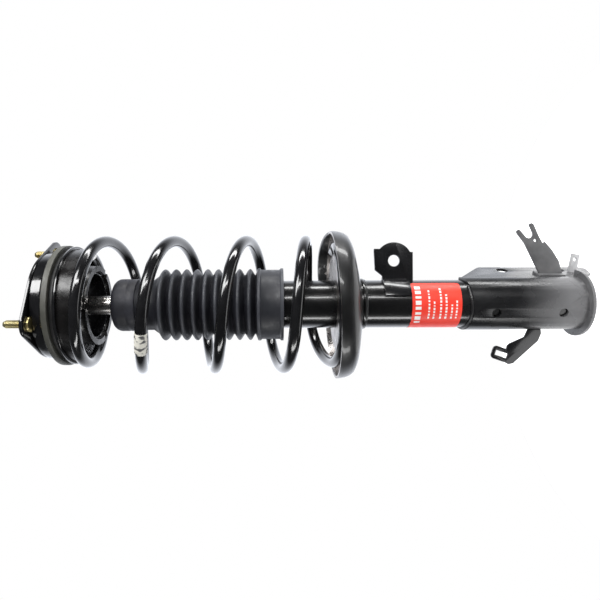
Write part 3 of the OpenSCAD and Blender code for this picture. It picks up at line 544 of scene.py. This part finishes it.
# Wire clip tab: a small upright tab that the wire's clip pushes onto.
# Light grey coat, spot welded at its foot.
light_coat = plain_plastic("light coat", (0.30, 0.30, 0.305), (0.38, 0.38, 0.385), 0.45)
piece("clip_tab", pressed("wire_clip_tab"), light_coat, "tube", "light_grey_paint", "wire_clip_tab", edge=0.5)

# Sensor bracket: plate with a slotted eye for the wheel speed sensor's wire, welded to the bracket's back.
# Painted with the tube.
piece("sensor_plate", pressed("sensor_bracket"), plain_black,
      "tube", "bracket_paint", "sensor_bracket", edge=0.6)

# Label: red film wrapped most of the way round the tube, with rounded corners.
# The print is only plain white bars.
label_top, label_foot = -384.2, -435.4
label_start, label_end = -183.0, -11.0
film_r, ink_r = 25.68, 25.76


def wrapped(radius, width_mm, height_mm, turn, z, corner=0.0, cells=(24, 12)):
    bm = bmesh.new()
    bmesh.ops.create_grid(bm, x_segments=cells[0], y_segments=cells[1], size=0.5)
    for vert in bm.verts:
        x = vert.co.x * width_mm
        y = vert.co.y * height_mm
        if corner:
            over_x = abs(x) - (width_mm / 2 - corner)
            over_y = abs(y) - (height_mm / 2 - corner)
            if over_x > 0 and over_y > 0:
                reach = max(over_x, over_y) / math.hypot(over_x, over_y)
                x = math.copysign(width_mm / 2 - corner + over_x * reach, x)
                y = math.copysign(height_mm / 2 - corner + over_y * reach, y)
        angle = math.radians(turn) + x / radius
        vert.co = (radius * math.cos(angle) * mm, radius * math.sin(angle) * mm, (z + y) * mm)
    bmesh.ops.recalc_face_normals(bm, faces=bm.faces)
    largest = max(bm.faces, key=lambda face: face.calc_area())
    centre = largest.calc_center_median()
    if largest.normal.dot(Vector((centre.x, centre.y, 0))) < 0:
        bmesh.ops.reverse_faces(bm, faces=bm.faces)
    return bm


def film(name, dark, light):
    material, tree, shader, where = new_material(name)
    cloud = noise(tree, where, 90, 5)
    tree.links.new(ramp(tree, cloud, [(0.3, dark), (0.7, light)]), shader.inputs["Base Color"])
    tree.links.new(spread(tree, noise(tree, where, 200, 3), 0.34, 0.5), shader.inputs["Roughness"])
    relief(tree, shader, noise(tree, where, 60, 4), 0.02)
    return material


red_film = film("red film", (0.82, 0.040, 0.020), (0.90, 0.052, 0.028))
white_ink = film("white ink", (0.80, 0.78, 0.76), (0.92, 0.90, 0.88))
label_mid = (label_start + label_end) / 2
label_z = (label_top + label_foot) / 2
label_width = math.radians(label_end - label_start) * tube_r
label = wrapped(film_r, label_width, label_top - label_foot, label_mid, label_z, 4, (72, 36))
piece("label_film", label, red_film, "tube", "label_film", "label", crease=60)
bars = bmesh.new()
rows = ((-390.4, 6.0, -100, 0, 8), (-401.5, 1.8, -84, -12, 9), (-406.8, 1.8, -84, -40, 6))
rows += ((-413.6, 2.0, -84, -6, 10), (-419.2, 2.0, -84, -22, 8))
rows += ((-425.0, 1.7, -84, -46, 5), (-430.0, 1.7, -84, -38, 6))
for z, height, start, end, count in rows:
    span = (end - start) / count
    for step in range(count):
        middle = start + span * (step + 0.5)
        share = 0.62 + 0.2 * math.sin(z + step * 2.3)
        one = wrapped(ink_r, math.radians(span * share) * tube_r, height, middle - 23, z, 0, (4, 2))
        loose = bpy.data.meshes.new("bar")
        one.to_mesh(loose)
        one.free()
        bars.from_mesh(loose)
        bpy.data.meshes.remove(loose)
piece("label_bars", bars, white_ink, "tube", "label_film", crease=60)

# Studio: a pale floor under the strut, a long softbox above it and weaker ones below and in front.
# The camera looks level at the strut, which lies across the view.
view_turn = math.radians(21)
up = Vector((math.cos(view_turn), math.sin(view_turn), 0))
into = Vector((-math.sin(view_turn), math.cos(view_turn), 0))
down = Vector((0, 0, -1))
middle = Vector((0, 0, -0.29))

floor_bm = bmesh.new()
bmesh.ops.create_circle(floor_bm, cap_ends=True, radius=0.26, segments=96)
bmesh.ops.translate(floor_bm, verts=floor_bm.verts, vec=(0, 0, -0.6005))
floor_mesh = bpy.data.meshes.new("floor")
floor_bm.to_mesh(floor_mesh)
floor_bm.free()
floor = bpy.data.objects.new("floor", floor_mesh)
bpy.context.scene.collection.objects.link(floor)
pale, tree, shader, where = new_material("pale floor")
cloud = noise(tree, where, 4, 3)
paper = ramp(tree, cloud, [(0.3, (0.86, 0.86, 0.86)), (0.7, (0.9, 0.9, 0.9))])
tree.links.new(paper, shader.inputs["Base Color"])
shader.inputs["Roughness"].default_value = 0.9
shader.inputs["Emission Color"].default_value = (1, 1, 1, 1)
shader.inputs["Emission Strength"].default_value = 1.0
floor_mesh.materials.append(pale)

world = bpy.data.worlds.new("studio")
bpy.context.scene.world = world
world.use_nodes = True
nodes, links = world.node_tree.nodes, world.node_tree.links
seen = nodes["Background"]
seen.inputs["Color"].default_value = (1, 1, 1, 1)
fill = nodes.new("ShaderNodeBackground")
fill.inputs["Color"].default_value = (0.9, 0.93, 1, 1)
facing = nodes.new("ShaderNodeVectorMath")
facing.operation = "DOT_PRODUCT"
facing.inputs[1].default_value = into
links.new(nodes.new("ShaderNodeTexCoord").outputs["Generated"], facing.inputs[0])
backdrop = nodes.new("ShaderNodeMapRange")
backdrop.inputs["From Min"].default_value = 0.3
backdrop.inputs["From Max"].default_value = 0.7
backdrop.inputs["To Min"].default_value = 0.07
backdrop.inputs["To Max"].default_value = 1.7
links.new(facing.outputs["Value"], backdrop.inputs["Value"])
links.new(backdrop.outputs["Result"], fill.inputs["Strength"])
rays = nodes.new("ShaderNodeLightPath")
either = nodes.new("ShaderNodeMixShader")
links.new(rays.outputs["Is Camera Ray"], either.inputs["Fac"])
links.new(fill.outputs["Background"], either.inputs[1])
links.new(seen.outputs["Background"], either.inputs[2])
links.new(either.outputs["Shader"], nodes["World Output"].inputs["Surface"])


def softbox(name, place, target, long, short, power):
    light = bpy.data.lights.new(name, "AREA")
    light.shape = "RECTANGLE"
    light.size = short
    light.size_y = long
    light.energy = power
    holder = bpy.data.objects.new(name, light)
    bpy.context.scene.collection.objects.link(holder)
    aim = (target - place).normalized()
    side = aim.cross(down).normalized()
    along = side.cross(aim)
    holder.matrix_world = Matrix((
        (side.x, along.x, -aim.x, place.x), (side.y, along.y, -aim.y, place.y),
        (side.z, along.z, -aim.z, place.z), (0, 0, 0, 1)))


left = Vector((0, 0, 1))
softbox("strip", middle - into * 0.72 + up * 0.45 + left * 0.12, middle, 0.7, 0.07, 3.5)
softbox("left", middle - into * 0.50 + up * 0.45 + left * 0.62, middle + left * 0.1, 0.5, 0.3, 7)
softbox("over", middle + up * 0.75 - into * 0.05, middle, 0.9, 0.12, 6)
softbox("under", middle - up * 0.7 - into * 0.25, middle, 0.8, 0.12, 3)

distance = 0.54
centre_z, height, roll = -0.2416, 0.0047, math.radians(0.3)
camera = bpy.data.cameras.new("camera")
camera.sensor_width = 36
camera.lens = 30
camera.shift_x = 0.0433
camera.clip_start = 0.01
eye = Vector((0, 0, centre_z)) - into * distance + up * height
right = down * math.cos(roll) - up * math.sin(roll)
top = up * math.cos(roll) + down * math.sin(roll)
viewer = bpy.data.objects.new("camera", camera)
viewer.matrix_world = Matrix((
    (right.x, top.x, -into.x, eye.x), (right.y, top.y, -into.y, eye.y),
    (right.z, top.z, -into.z, eye.z), (0, 0, 0, 1)))
bpy.context.scene.collection.objects.link(viewer)
bpy.context.scene.camera = viewer
bpy.context.scene.view_settings.view_transform = "Standard"
